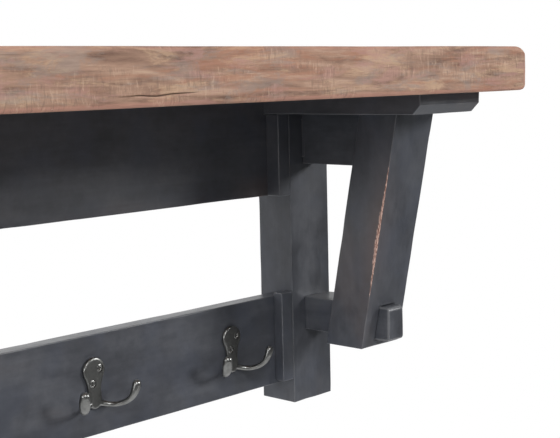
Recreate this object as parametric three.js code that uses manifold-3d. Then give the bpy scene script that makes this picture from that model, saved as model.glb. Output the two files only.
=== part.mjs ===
// Wall coat shelf: a thick plank on two timber bracket frames, with a board of cast hooks below it.
// Millimetres, +Z up. The wall is the plane y = 0 and the room is towards -Y. The origin is the
// middle of the plank's back edge, half way up its thickness, where it touches the wall.
import * as THREE from 'three';
import { mergeVertices } from 'three/addons/utils/BufferGeometryUtils.js';
import Module from 'manifold-3d';

const wasm = await Module();
wasm.setup();

// ---- Driving dimensions ----------------------------------------------------------------------

const shelf = { length: 1220, depth: 286, thickness: 48, overhang: 62.5, ease: 5 };
const post = { width: 66, depth: 51, length: 340 };
const arm = { width: 107.5, length: 253.5, thickness: 21.5, nose: 10 };
const strut = { run: 52, slope: 0.203, topBack: 155.4, footAbovePost: 78 };
const sideRail = { upperWidth: 22, lowerWidth: 44, upperHeight: 59, lowerTop: 124, lowerHeight: 39 };
const tenon = { width: 26, reach: 176, tongue: 20, upperTongueInset: 8, round: 5 };
const apron = { thickness: 19, front: 31.6, height: 115.8 };
const hookRail = { thickness: 19, front: 37.4, height: 104.4, abovePostFoot: 24.6 };
const batten = { width: 18, raise: 4 };
const hooks = { count: 5, pitch: 195.8, abovePostFoot: 92.4 };
const timberEase = 1.5;
const gap = 0.3;

// ---- Places worked out from them -------------------------------------------------------------

const shelfUnderside = -shelf.thickness / 2;
const armUnderside = shelfUnderside - arm.thickness;
const postFoot = armUnderside - post.length;
const postCentre = shelf.length / 2 - shelf.overhang - post.width / 2;
const boardLength = 2 * (postCentre - post.width / 2);
const strutFoot = postFoot + strut.footAbovePost;
const lowerRailTop = postFoot + sideRail.lowerTop;
const lowerRailBottom = lowerRailTop - sideRail.lowerHeight;
const upperRailBottom = armUnderside - sideRail.upperHeight;
const railOutside = post.width / 2;
const railInside = railOutside - sideRail.lowerWidth;
const upperRailOutside = railInside + sideRail.upperWidth;
const tenonOutside = railInside + tenon.width;
const apronBottom = shelfUnderside - apron.height;
const hookRailBottom = postFoot + hookRail.abovePostFoot;
const hookCentre = postFoot + hooks.abovePostFoot;

// Depth of the strut's back face at a height. It leans in towards the wall on its way down.
const strutBack = (z) => strut.topBack - strut.slope * (armUnderside - z);

// ---- Materials -------------------------------------------------------------------------------

const paint = (color, roughness, metalness = 0) =>
  new THREE.MeshStandardMaterial({ color, roughness, metalness });
const plankWood = paint(0x8a6a50, 0.8);
const blackPaint = paint(0x2c2e33, 0.5);
const castMetal = paint(0x6b6c68, 0.35, 0.9);
const screwSteel = paint(0x8c8c88, 0.35, 0.9);
const zincPlate = paint(0xa9abad, 0.4, 0.9);

// ---- Solids ----------------------------------------------------------------------------------

function solidFrom(geometry) {
  const bare = geometry.clone();
  bare.deleteAttribute('normal');
  bare.deleteAttribute('uv');
  const merged = mergeVertices(bare, 1e-4);
  return new wasm.Manifold(new wasm.Mesh({
    numProp: 3,
    vertProperties: Float32Array.from(merged.attributes.position.array),
    triVerts: Uint32Array.from(merged.index.array),
  }));
}

function geometryFrom(solid) {
  const mesh = solid.getMesh();
  const geometry = new THREE.BufferGeometry();
  geometry.setAttribute('position', new THREE.BufferAttribute(mesh.vertProperties, 3));
  geometry.setIndex(new THREE.BufferAttribute(mesh.triVerts, 1));
  geometry.computeVertexNormals();
  return geometry;
}

const join = (geometries) =>
  geometryFrom(geometries.map(solidFrom).reduce((sum, next) => sum.add(next)));
const cut = (geometry, tools) =>
  geometryFrom(tools.map(solidFrom).reduce((left, tool) => left.subtract(tool), solidFrom(geometry)));

// Outline axes to object axes: a side outline is drawn as (y, z) and runs along x; a face outline
// is drawn as (x, z) and grows out of the wall, towards -Y.
const axisX = new THREE.Vector3(1, 0, 0);
const axisY = new THREE.Vector3(0, 1, 0);
const axisZ = new THREE.Vector3(0, 0, 1);
const fromSide = new THREE.Matrix4().makeBasis(axisY, axisZ, axisX);
const fromFace = new THREE.Matrix4().makeBasis(axisX, axisZ, axisY.clone().negate());

// A prism whose end rims are bevelled by `ease` without changing its size.
function prism(outline, length, ease, segments = 1) {
  return new THREE.ExtrudeGeometry(outline, {
    depth: length - 2 * ease,
    bevelEnabled: ease > 0,
    bevelThickness: ease,
    bevelSize: ease,
    bevelOffset: -ease,
    bevelSegments: segments,
    curveSegments: 4,
  }).translate(0, 0, ease);
}

const polygon = (points) => new THREE.Shape(points.map(([u, v]) => new THREE.Vector2(u, v)));

function easedRectangle(low, high, ease) {
  const [u0, v0] = low;
  const [u1, v1] = high;
  return polygon([
    [u0 + ease, v0], [u1 - ease, v0], [u1, v0 + ease], [u1, v1 - ease],
    [u1 - ease, v1], [u0 + ease, v1], [u0, v1 - ease], [u0, v0 + ease],
  ]);
}

// Side outlines name depths, measured out from the wall, and turn them into y.
const sideOutline = (points) => polygon(points.map(([depth, z]) => [-depth, z]));

// A piece that runs along x, from `start`, with its outline given as depths and heights.
const acrossX = (outline, start, length, ease = timberEase) =>
  prism(outline, length, ease).applyMatrix4(fromSide).translate(start, 0, 0);

const block = (low, high) => {
  const size = high.map((value, i) => value - low[i]);
  return new THREE.BoxGeometry(...size)
    .translate(...low.map((value, i) => value + size[i] / 2));
};

// ---- Screws ----------------------------------------------------------------------------------

const screwKinds = {
  hook: { length: 20, head: 4, shank: 2 },
  frame: { length: 70, head: 4.5, shank: 2.3 },
  plank: { length: 44, head: 4, shank: 2.1 },
  board: { length: 29, head: 3.6, shank: 1.8 },
  hanger: { length: 16, head: 3.2, shank: 1.6 },
};
const screwSides = 8;

// A countersunk screw along -Y with the middle of its flat head at the origin.
function countersunk({ length, head, shank }, clearance = 0) {
  const coneEnd = -(head - shank);
  const profile = [
    [0, -length - clearance], [shank + clearance, -length + 2 * shank],
    [shank + clearance, coneEnd - clearance], [head + clearance, -clearance * 0.5],
    [head + clearance, clearance], [0, clearance],
  ].map(([radius, y]) => new THREE.Vector2(radius, y));
  return new THREE.LatheGeometry(profile, screwSides);
}

// Each screw is { kind, at: middle of its head, into: direction it is driven }.
function screwGeometry(screw, clearance) {
  const turn = new THREE.Quaternion().setFromUnitVectors(axisY.clone().negate(), screw.into);
  return countersunk(screwKinds[screw.kind], clearance).applyQuaternion(turn)
    .translate(...screw.at);
}

const out = axisY.clone().negate();
const down = axisZ.clone().negate();

const drilled = (geometry, screws) =>
  cut(geometry, screws.map((screw) => screwGeometry(screw, gap)));

// ---- Bracket frame, drawn about the post's middle line ---------------------------------------
// `side` is +1 on the right and -1 on the left. Pieces that are not symmetrical give their inside
// and outside edges as distances outwards from that line.

const startOf = (side, inside, outside) => (side > 0 ? inside : -outside);

function armScrews(side) {
  const into = (x, depth) => ({ kind: 'frame', at: [x, -depth, shelfUnderside], into: down });
  const strutMiddle = strut.topBack + strut.run / 2;
  return [into(0, 25), into(-16, strutMiddle), into(16, strutMiddle)];
}

function plankScrews(side) {
  const wing = (post.width + arm.width) / 4;
  const up = (x, depth) => ({ kind: 'plank', at: [x, -depth, armUnderside], into: axisZ });
  return [up(side * wing, 60), up(0, 226)];
}

const hangerHeight = armUnderside - 55;
const hanger = { width: 20, height: 56, thickness: 2, slotRise: 9, headRadius: 5, slotRadius: 2.6 };

function hangerScrews() {
  const rise = hanger.height / 2 - 6;
  return [rise, -rise].map((dz) => ({ kind: 'hanger', at: [0, 0, hangerHeight + dz], into: out }));
}

function postGeometry(side) {
  const outline = easedRectangle([-post.width / 2, -post.depth], [post.width / 2, 0], timberEase);
  const body = prism(outline, post.length, timberEase).translate(0, 0, postFoot);
  const socket = (start, width, bottom, top) => block(
    [start - gap, -post.depth - 1, bottom - gap],
    [start + width + gap, -post.depth + tenon.tongue + gap, top + gap]);
  const plateSeat = prism(hangerOutline(gap), hanger.thickness + gap + 1, 0)
    .applyMatrix4(fromFace).translate(0, 1, hangerHeight);
  const headPocket = block([-6.5, -13, hangerHeight - 8], [6.5, 1, hangerHeight + 15]);
  const inset = tenon.upperTongueInset;
  const lowerStart = startOf(side, railInside, tenonOutside);
  const upperStart = startOf(side, railInside, upperRailOutside);
  const sockets = [
    socket(lowerStart, tenon.width, lowerRailBottom, lowerRailTop),
    socket(upperStart, sideRail.upperWidth, upperRailBottom + inset, armUnderside - inset),
  ];
  const seated = cut(body, [...sockets, plateSeat, headPocket]);
  return drilled(seated, [armScrews(side)[0], ...hangerScrews()]);
}

function armGeometry(side) {
  const nose = arm.length;
  const body = acrossX(sideOutline([
    [0, armUnderside], [nose - arm.nose, armUnderside], [nose, armUnderside + arm.nose],
    [nose, shelfUnderside], [0, shelfUnderside],
  ]), -arm.width / 2, arm.width);
  return drilled(body, [...armScrews(side), ...plankScrews(side)]);
}

function strutGeometry(side) {
  const topBack = strutBack(armUnderside);
  const footBack = strutBack(strutFoot);
  const body = acrossX(sideOutline([
    [footBack, strutFoot], [footBack + strut.run, strutFoot],
    [topBack + strut.run, armUnderside], [topBack, armUnderside],
  ]), -post.width / 2, post.width);
  const mortiseStart = startOf(side, railInside, tenonOutside);
  const mortise = block(
    [mortiseStart - gap, -tenon.reach, lowerRailBottom - gap],
    [mortiseStart + tenon.width + gap, -post.depth, lowerRailTop + gap]);
  return drilled(cut(body, [mortise]), armScrews(side).slice(1));
}

function sideRailGeometry(side, outside, bottom, top) {
  return acrossX(sideOutline([
    [post.depth, bottom], [strutBack(bottom) - gap, bottom],
    [strutBack(top) - gap, top], [post.depth, top],
  ]), startOf(side, railInside, outside), outside - railInside);
}

function upperTongueGeometry(side, bottom, top) {
  const start = startOf(side, railInside, upperRailOutside);
  const inPost = post.depth - tenon.tongue;
  return block([start, -post.depth - 5, bottom], [start + sideRail.upperWidth, -inPost, top]);
}

function upperRailGeometry(side) {
  const inset = tenon.upperTongueInset;
  return join([
    sideRailGeometry(side, upperRailOutside, upperRailBottom, armUnderside),
    upperTongueGeometry(side, upperRailBottom + inset, armUnderside - inset),
  ]);
}

function lowerRailGeometry(side) {
  const nose = new THREE.Shape();
  const start = -(post.depth - tenon.tongue);
  const end = -tenon.reach;
  nose.moveTo(start, lowerRailBottom);
  nose.lineTo(end + tenon.round, lowerRailBottom);
  nose.absarc(end + tenon.round, lowerRailBottom + tenon.round, tenon.round, -Math.PI / 2, Math.PI, true);
  nose.lineTo(end, lowerRailTop - tenon.round);
  nose.absarc(end + tenon.round, lowerRailTop - tenon.round, tenon.round, Math.PI, Math.PI / 2, true);
  nose.lineTo(start, lowerRailTop);
  const through = acrossX(nose, startOf(side, railInside, tenonOutside), tenon.width);
  return join([sideRailGeometry(side, railOutside, lowerRailBottom, lowerRailTop), through]);
}

function hangerOutline(margin) {
  const round = hanger.width / 2 + margin;
  const rise = hanger.height / 2 - hanger.width / 2;
  const plate = new THREE.Shape();
  plate.absarc(0, rise, round, 0, Math.PI, false);
  plate.absarc(0, -rise, round, Math.PI, 2 * Math.PI, false);
  plate.closePath();
  return plate;
}

function hangerGeometry() {
  const plate = prism(hangerOutline(0), hanger.thickness, 0);
  const hole = new THREE.Shape().absarc(0, 0, hanger.headRadius, 0, 2 * Math.PI, false);
  const slot = new THREE.Shape();
  slot.absarc(0, hanger.slotRise, hanger.slotRadius, 0, Math.PI, false);
  slot.lineTo(-hanger.slotRadius, 0);
  slot.lineTo(hanger.slotRadius, 0);
  const through = [hole, slot].map((shape) => prism(shape, hanger.thickness + 2, 0).translate(0, 0, -1));
  const placed = cut(plate, through).applyMatrix4(fromFace).translate(0, 0, hangerHeight);
  return drilled(placed, hangerScrews());
}

// Battens stand against the post's inner face, in front of the boards and flush with the post.
const battenHoles = (centreX, boardBack, bottom, height) => [0.25, 0.75].map((share) =>
  ({ kind: 'board', at: [centreX, -boardBack, bottom + share * height], into: out }));

function battenGeometry(side, boardFront, bottom, height, screws) {
  const inner = post.width / 2 + batten.width;
  const x0 = startOf(side, -inner, -post.width / 2);
  const outline = easedRectangle([x0, -post.depth], [x0 + batten.width, -boardFront], timberEase);
  return drilled(prism(outline, height, timberEase).translate(0, 0, bottom), screws);
}

const battenMiddle = (side) => -side * (post.width / 2 + batten.width / 2);
const upperBattenHeight = armUnderside - apronBottom;
const upperBattenScrews = (side) => battenHoles(
  battenMiddle(side), apron.front - apron.thickness, apronBottom, upperBattenHeight);
const lowerBattenScrews = (side) => battenHoles(
  battenMiddle(side), hookRail.front - hookRail.thickness, hookRailBottom, hookRail.height);

// ---- Boards between the posts ----------------------------------------------------------------

const onBothSides = (screwsOf) => [1, -1].flatMap((side) =>
  screwsOf(side).map((screw) => ({
    ...screw, at: [side * postCentre + screw.at[0], screw.at[1], screw.at[2]],
  })));

function shelfGeometry() {
  const outline = easedRectangle([-shelf.length / 2, -shelf.depth], [shelf.length / 2, 0], shelf.ease);
  const body = prism(outline, shelf.thickness, shelf.ease, 2).translate(0, 0, -shelf.thickness / 2);
  return drilled(body, onBothSides(plankScrews));
}

function boardGeometry(board, bottom, screws) {
  const outline = easedRectangle(
    [-board.front, bottom], [-board.front + board.thickness, bottom + board.height], timberEase);
  return drilled(acrossX(outline, -boardLength / 2, boardLength), screws);
}

function apronGeometry() {
  const board = boardGeometry(apron, apronBottom, onBothSides(upperBattenScrews));
  const notchWidth = (arm.width - post.width) / 2;
  const notches = [1, -1].map((side) => {
    const x = startOf(side, boardLength / 2 - notchWidth, boardLength / 2 + 1);
    return block([x - gap, -post.depth, armUnderside - gap], [x + notchWidth + 1 + gap, 0, 0]);
  });
  return cut(board, notches);
}

// ---- Hooks, drawn about the round of the plate on the rail's face ----------------------------

const plate = { radius: 13.5, neck: 8, foot: 8.5, footDrop: 31.5, thickness: 4, ease: 1.4 };
const prong = { halfWidth: 3.8, halfThickness: 2.9, steps: 14 };
const hookScrewPlaces = [[6.2, 1.6], [-3.3, -13.4]];

// Prong middle line: sideways out of the foot, then forward and up, as x, distance out, height.
const prongLine = [
  [3, 6, -34], [9.5, 5, -37], [16.3, 7.5, -38], [22.8, 14.3, -36.8],
  [27.8, 21, -33.4], [31.3, 26, -26.9], [33.2, 29, -19.5],
];

function plateOutline() {
  const { radius, neck, foot, footDrop } = plate;
  const shoulder = -0.45;
  const outline = new THREE.Shape();
  outline.absarc(0, 0, radius, shoulder, Math.PI - shoulder, false);
  outline.quadraticCurveTo(-neck, -13, -neck, -22);
  outline.lineTo(-foot, -footDrop);
  outline.absarc(0, -footDrop, foot, Math.PI, 2 * Math.PI, false);
  outline.lineTo(neck, -22);
  outline.quadraticCurveTo(neck, -13, radius * Math.cos(shoulder), radius * Math.sin(shoulder));
  return outline;
}

function prongGeometry(side) {
  const line = new THREE.CatmullRomCurve3(
    prongLine.map(([x, reach, z]) => new THREE.Vector3(side * x, -reach, z)));
  const section = new THREE.Shape();
  section.absellipse(0, 0, prong.halfThickness, prong.halfWidth, 0, 2 * Math.PI, false, 0);
  const rod = new THREE.ExtrudeGeometry(section, {
    steps: prong.steps, extrudePath: line, curveSegments: 4, bevelEnabled: false,
  });
  const [x, reach, z] = prongLine[prongLine.length - 1];
  const tip = new THREE.SphereGeometry(4.4, 8, 6).translate(side * x, -reach, z + 1);
  return join([rod, tip]);
}

function hookGeometry() {
  const back = prism(plateOutline(), plate.thickness, plate.ease).applyMatrix4(fromFace);
  const root = new THREE.SphereGeometry(1, 10, 8).scale(8.2, 8, 7.5).translate(0, -3.5, -34);
  const boss = cut(root, [block([-20, 0, -60], [20, 20, 0])]);
  const cast = join([back, boss, prongGeometry(1), prongGeometry(-1)]);
  return drilled(cast, hookScrews());
}

const hookScrews = () => hookScrewPlaces.map(([x, z]) =>
  ({ kind: 'hook', at: [x, -plate.thickness, z], into: axisY }));

const hookPlaces = Array.from({ length: hooks.count },
  (_, i) => (i - (hooks.count - 1) / 2) * hooks.pitch);

function hookRailGeometry() {
  const hookHoles = hookPlaces.flatMap((x) => hookScrews().map((screw) => ({
    ...screw, at: [x + screw.at[0], screw.at[1] - hookRail.front, hookCentre + screw.at[2]],
  })));
  return boardGeometry(hookRail, hookRailBottom, [...hookHoles, ...onBothSides(lowerBattenScrews)]);
}

// ---- Scene -----------------------------------------------------------------------------------

const coatShelf = new THREE.Group();

function add(group, name, geometry, material) {
  const mesh = new THREE.Mesh(geometry, material);
  mesh.name = name;
  group.add(mesh);
}

function addScrews(group, name, screws) {
  screws.forEach((screw, i) =>
    add(group, `${name}_${i + 1}`, screwGeometry(screw, 0), screwSteel));
}

add(coatShelf, 'shelf_plank', shelfGeometry(), plankWood);
add(coatShelf, 'apron_board', apronGeometry(), blackPaint);
add(coatShelf, 'hook_rail', hookRailGeometry(), blackPaint);

for (const [label, side] of [['left', -1], ['right', 1]]) {
  const bracket = new THREE.Group();
  bracket.position.set(side * postCentre, 0, 0);
  coatShelf.add(bracket);
  const upperScrews = upperBattenScrews(side);
  const lowerScrews = lowerBattenScrews(side);
  add(bracket, `${label}_post`, postGeometry(side), blackPaint);
  add(bracket, `${label}_arm`, armGeometry(side), blackPaint);
  add(bracket, `${label}_strut`, strutGeometry(side), blackPaint);
  add(bracket, `${label}_upper_side_rail`, upperRailGeometry(side), blackPaint);
  add(bracket, `${label}_lower_side_rail`, lowerRailGeometry(side), blackPaint);
  add(bracket, `${label}_upper_batten`,
    battenGeometry(side, apron.front, apronBottom, upperBattenHeight, upperScrews), blackPaint);
  add(bracket, `${label}_lower_batten`,
    battenGeometry(side, hookRail.front, hookRailBottom + batten.raise, hookRail.height, lowerScrews),
    blackPaint);
  add(bracket, `${label}_hanger_plate`, hangerGeometry(), zincPlate);
  addScrews(bracket, `${label}_arm_screw`, armScrews(side));
  addScrews(bracket, `${label}_plank_screw`, plankScrews(side));
  addScrews(bracket, `${label}_apron_screw`, upperScrews);
  addScrews(bracket, `${label}_rail_screw`, lowerScrews);
  addScrews(bracket, `${label}_hanger_screw`, hangerScrews());
}

const hook = hookGeometry();
hookPlaces.forEach((x, i) => {
  const station = new THREE.Group();
  station.position.set(x, -hookRail.front, hookCentre);
  coatShelf.add(station);
  add(station, `hook_${i + 1}`, hook, castMetal);
  addScrews(station, `hook_${i + 1}_screw`, hookScrews());
});

export default coatShelf;
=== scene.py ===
import itertools
import math

import bmesh
import bpy
import numpy as np
from mathutils import Matrix, Vector


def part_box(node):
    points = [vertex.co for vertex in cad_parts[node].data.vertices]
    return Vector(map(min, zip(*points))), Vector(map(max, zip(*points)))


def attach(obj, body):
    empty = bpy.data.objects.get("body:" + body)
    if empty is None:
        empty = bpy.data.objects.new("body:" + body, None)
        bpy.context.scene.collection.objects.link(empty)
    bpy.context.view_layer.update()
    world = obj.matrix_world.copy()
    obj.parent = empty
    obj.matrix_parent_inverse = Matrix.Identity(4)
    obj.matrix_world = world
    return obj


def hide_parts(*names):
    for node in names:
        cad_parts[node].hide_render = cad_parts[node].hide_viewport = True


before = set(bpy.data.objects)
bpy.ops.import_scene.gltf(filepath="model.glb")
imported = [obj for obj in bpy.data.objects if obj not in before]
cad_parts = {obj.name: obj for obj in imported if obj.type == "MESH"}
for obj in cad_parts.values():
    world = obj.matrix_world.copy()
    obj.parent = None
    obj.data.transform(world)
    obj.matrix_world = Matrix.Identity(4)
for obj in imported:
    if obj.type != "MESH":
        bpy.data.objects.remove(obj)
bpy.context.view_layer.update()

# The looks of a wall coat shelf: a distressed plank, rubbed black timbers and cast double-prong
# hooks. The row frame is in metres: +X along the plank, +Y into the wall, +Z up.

MM = 0.001
BODY = "root"
SIDES = {"left": -1, "right": 1}

# ---- Sizes that the pieces share ----

CLEARANCE = 0.3 * MM
EDGE_REACH = 6 * MM
MERGE_WITHIN = 0.01 * MM

# How far most cutters stand out of the face that they cut.
OVERSHOOT = 1 * MM


# ---- Seeded noise for shapes ----

def lattice_value(cell, seed):
    """A repeatable number from -1 to 1 for each whole-number cell."""
    mixed = cell[:, 0] * 73856093 ^ cell[:, 1] * 19349663 ^ cell[:, 2] * 83492791 ^ seed * 2654435761
    mixed = (mixed ^ (mixed >> 13)) * 1274126177 & 0xFFFFFFFF
    mixed ^= mixed >> 16
    return (mixed & 0xFFFFFF) / 0x7FFFFF - 1


def smooth_noise(points, wavelength, seed):
    """Smooth noise from -1 to 1 at each row of points. wavelength is one size or one for each axis."""
    place = np.asarray(points, float) / np.asarray(wavelength, float)
    cell = np.floor(place).astype(np.int64)
    part = place - cell
    part = part * part * (3 - 2 * part)
    total = np.zeros(len(place))
    for corner in itertools.product((0, 1), repeat=3):
        weight = np.prod(np.where(corner, part, 1 - part), axis=1)
        total += weight * lattice_value(cell + corner, seed)
    return total


def along(grain, length, across):
    """Three sizes or scales: length on the grain axis (0 for X, 1 for Y, 2 for Z), across on the rest."""
    sizes = [across] * 3
    sizes[grain] = length
    return sizes


# ---- Solids with rounded, worn edges ----

ARC_DEGREES = (45, 30, 15, 0)
SUPPORT = 1 * MM


def grid_lines(low, high, radius, step, extra=()):
    """Places from low to high: close together round both edges, about a step apart between them."""
    bend = [radius * (1 - math.tan(math.radians(angle))) for angle in ARC_DEGREES]
    bend.append(radius + SUPPORT)
    start, end = low + bend[-1], high - bend[-1]
    count = max(1, math.ceil((end - start) / step))
    middle = np.linspace(start, end, count + 1)[1:-1]
    lines = [low + b for b in bend] + list(middle) + [high - b for b in bend]
    free = [line for line in extra if low + radius < line < high - radius]
    return np.array(sorted(set(round(float(line), 7) for line in lines + free)))


class Block:
    """A box with rounded edges as points, quads, outward directions and nearness to an edge."""

    def __init__(self, low, high, radius, steps, extra=((), (), ())):
        low, high = np.array(low, float), np.array(high, float)
        radius = np.array(radius, float) * np.ones(3)
        lines = [grid_lines(low[i], high[i], radius[i], steps[i], extra[i]) for i in range(3)]
        points, self.quads = self.shell(lines)
        near = np.minimum(points - low, high - points)
        second = np.sort(near, axis=1)[:, 1]
        self.edge = 1 - np.clip(second / EDGE_REACH, 0, 1)
        core = np.clip(points, low + radius, high - radius)
        unit = (points - core) / radius
        self.out = unit / np.linalg.norm(unit, axis=1)[:, None]
        self.points = core + self.out * radius

    @staticmethod
    def shell(lines):
        """The points and quads of a grid over all six faces, joined along their shared edges."""
        points, quads, start = [], [], 0
        for axis in range(3):
            u, v = (axis + 1) % 3, (axis + 2) % 3
            for outward, level in ((False, lines[axis][0]), (True, lines[axis][-1])):
                across, up = np.meshgrid(lines[u], lines[v], indexing="ij")
                patch = np.zeros(across.shape + (3,))
                patch[..., axis], patch[..., u], patch[..., v] = level, across, up
                number = start + np.arange(across.size).reshape(across.shape)
                corners = [number[:-1, :-1], number[1:, :-1], number[1:, 1:], number[:-1, 1:]]
                if not outward:
                    corners.reverse()
                quads.append(np.stack(corners, axis=-1).reshape(-1, 4))
                points.append(patch.reshape(-1, 3))
                start += across.size
        points, quads = np.concatenate(points), np.concatenate(quads)
        keys = np.round(points / MERGE_WITHIN).astype(np.int64)
        _, first, merged = np.unique(keys, axis=0, return_index=True, return_inverse=True)
        return points[first], merged.reshape(-1)[quads]

    def press(self, depth):
        """Moves every point inwards by its depth."""
        self.points = self.points - self.out * np.asarray(depth)[:, None]


# ---- Meshes and pieces ----

def add_object(name, data):
    added = bpy.data.objects.new(name, data)
    bpy.context.scene.collection.objects.link(added)
    return added


def mesh_object(name, points, faces, **attributes):
    """An object of these points and faces. Each attribute is a list of values, one for each point."""
    mesh = bpy.data.meshes.new(name)
    mesh.from_pydata([tuple(p) for p in points], [], [tuple(int(i) for i in f) for f in faces])
    for key, values in attributes.items():
        layer = mesh.attributes.new(key, "FLOAT", "POINT")
        layer.data.foreach_set("value", np.asarray(values, np.float32))
    mesh.update()
    return add_object(name, mesh)


def ring_walls(rings, count, start=0):
    """Quads between each ring of count points and the next. start is the first point's number."""
    faces = []
    for near in range(start, start + (rings - 1) * count, count):
        far = near + count
        faces += [(near + k, near + (k + 1) % count, far + (k + 1) % count, far + k) for k in range(count)]
    return faces


def loft(rings):
    """A closed skin over rings with the same number of points, as points and faces."""
    count = len(rings[0])
    last = (len(rings) - 1) * count
    ends = [tuple(reversed(range(count))), tuple(range(last, last + count))]
    return [point for ring in rings for point in ring], ring_walls(len(rings), count) + ends


def face_outwards(mesh):
    """Turns the faces of closed shells outwards."""
    solid = bmesh.new()
    solid.from_mesh(mesh)
    bmesh.ops.recalc_face_normals(solid, faces=solid.faces)
    solid.to_mesh(mesh)
    solid.free()


def apply_modifiers(piece):
    bpy.context.view_layer.update()
    graph = bpy.context.evaluated_depsgraph_get()
    mesh = bpy.data.meshes.new_from_object(piece.evaluated_get(graph))
    piece.modifiers.clear()
    piece.data = mesh


def cut_out(piece, cutters):
    """Cuts the cutters out of the piece and deletes them."""
    for cutter in cutters:
        modifier = piece.modifiers.new("cut", "BOOLEAN")
        modifier.operation = "DIFFERENCE"
        modifier.solver = "EXACT"
        modifier.object = cutter
    apply_modifiers(piece)
    for cutter in cutters:
        bpy.data.objects.remove(cutter)


def finish_piece(piece, material, node, sharp_degrees=38):
    """Gives a finished piece its shading, material and body, and hides the CAD node that it stands for."""
    piece.data.shade_smooth()
    piece.data.set_sharp_from_angle(angle=math.radians(sharp_degrees))
    piece.data.materials.clear()
    piece.data.materials.append(material)
    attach(piece, BODY)
    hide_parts(node)


# ---- Cutters ----

def box_cutter(low, high, lean=None, grow=0.0):
    """A plain box; lean moves its corners, and grow widens its front end into a flared mouth."""
    corners = np.array(list(itertools.product(*zip(low, high))))
    middle = (np.array(low) + np.array(high)) / 2
    front = corners[:, 1] == min(low[1], high[1])
    for axis in (0, 2):
        corners[front, axis] += grow * np.sign(corners[front, axis] - middle[axis])
    if lean:
        corners = lean(corners)
    faces = [(0, 1, 3, 2), (4, 6, 7, 5), (0, 4, 5, 1), (2, 3, 7, 6), (0, 2, 6, 4), (1, 5, 7, 3)]
    return mesh_object("cutter", corners, faces)


def socket_cutter(xs, ys, zs, **flare):
    """A box cutter from pairs of places along each axis, with clearance along X and Z."""
    low, high = np.array((xs, ys, zs)).T
    room = np.array((CLEARANCE, 0, CLEARANCE))
    return box_cutter(low - room, high + room, **flare)


def prism_cutter(outline, start, direction):
    """A prism on a loop of points that lie in a plane; direction is the full extrusion."""
    base = [Vector(start) + Vector(p) for p in outline]
    cutter = mesh_object("cutter", *loft([base, [p + Vector(direction) for p in base]]))
    face_outwards(cutter.data)
    return cutter


def round_loop(radius, plane, count=32, rise=0.0):
    """A circle in plane 'xz' or 'xy'. With a rise it is a slot: each half moves up or down by it."""
    loop = []
    for i in range(count):
        angle = 2 * math.pi * (i + 0.5) / count
        u, v = radius * math.cos(angle), radius * math.sin(angle)
        v += math.copysign(rise, v)
        loop.append((u, 0, v) if plane == "xz" else (u, v, 0))
    return loop


# ---- Screws ----

# Which way each kind of screw's head faces: the axis, the direction along it, and the head radius.
SCREW_KINDS = {
    "arm": (2, 1, 4.5 * MM), "plank": (2, -1, 4 * MM), "apron": (1, 1, 3.6 * MM),
    "rail": (1, 1, 3.6 * MM), "hanger": (1, 1, 3.2 * MM), "hook": (1, -1, 4 * MM),
}
HEAD_TURNS = 48
HEAD_RINGS = 14
HEAD_CROWN = 0.65 * MM
HEAD_STANDS_IN = 0.65 * MM
HEAD_RIM = 0.35 * MM
HOLE_MARGIN = 0.25 * MM
HOLE_DEPTH = 1.3 * MM

# The shank: its share of the head's radius, where along it the point starts, and the tip's radius.
SHANK_SHARE = 0.5
POINT_START = 0.85
TIP_RADIUS = 0.1 * MM

# The cross recess, as shares of the head's radius.
RECESS_HALF_WIDTH, RECESS_SOFT_EDGE = 0.15, 0.1
RECESS_REACH, RECESS_TAPER = 0.62, 0.35
RECESS_DEPTH = 0.42

# How far the first screw is turned, in radians, and each one more than the one before.
FIRST_TURN, NEXT_TURN = 0.35, 2.4


def screw_place(node):
    """A CAD screw as the middle, outward direction and radius of its head, and its length."""
    low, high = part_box(node)
    axis, sign, radius = SCREW_KINDS["hook" if node.startswith("hook_") else node.split("_")[1]]
    middle = (low + high) / 2
    middle[axis] = high[axis] if sign > 0 else low[axis]
    outward = Vector((0, 0, 0))
    outward[axis] = sign
    return middle, outward, radius, high[axis] - low[axis]


def recess_depth(x, y):
    """Depth of the recess at a place, in head radii: two arms that get deeper towards the middle."""
    def arm(a, b):
        side = np.clip((RECESS_HALF_WIDTH + RECESS_SOFT_EDGE - abs(b)) / RECESS_SOFT_EDGE, 0, 1)
        end = np.clip((RECESS_REACH - abs(a)) / RECESS_TAPER, 0, 1)
        return side * end
    return RECESS_DEPTH * max(arm(x, y), arm(y, x))


def screw_mesh(radius, length, turn):
    """A screw along -Z with the head's rim at height 0, in rings from the head's middle outwards."""
    angles = [2 * math.pi * i / HEAD_TURNS for i in range(HEAD_TURNS)]
    rings = []
    for k in range(1, HEAD_RINGS + 1):
        share = k / HEAD_RINGS
        crown = HEAD_CROWN * (1 - share ** 2)
        places = [(share * math.cos(angle), share * math.sin(angle)) for angle in angles]
        rings.append([(x * radius, y * radius, crown - radius * recess_depth(x, y)) for x, y in places])
    shank = radius * SHANK_SHARE
    profile = [(radius, HEAD_RIM), (shank, HEAD_RIM + radius - shank), (shank, POINT_START * length),
               (TIP_RADIUS, length)]
    for r, drop in profile:
        rings.append([(r * math.cos(angle), r * math.sin(angle), -drop) for angle in angles])
    spin = Matrix.Rotation(turn, 3, "Z")
    middle = Vector((0, 0, HEAD_CROWN - radius * recess_depth(0, 0)))
    points = [middle] + [spin @ Vector(p) for ring in rings for p in ring]
    faces = [(0, 1 + i, 1 + (i + 1) % HEAD_TURNS) for i in range(HEAD_TURNS)]
    faces += [tuple(reversed(face)) for face in ring_walls(len(rings), HEAD_TURNS, start=1)]
    faces.append(tuple(reversed(range(len(points) - HEAD_TURNS, len(points)))))
    return points, faces


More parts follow.
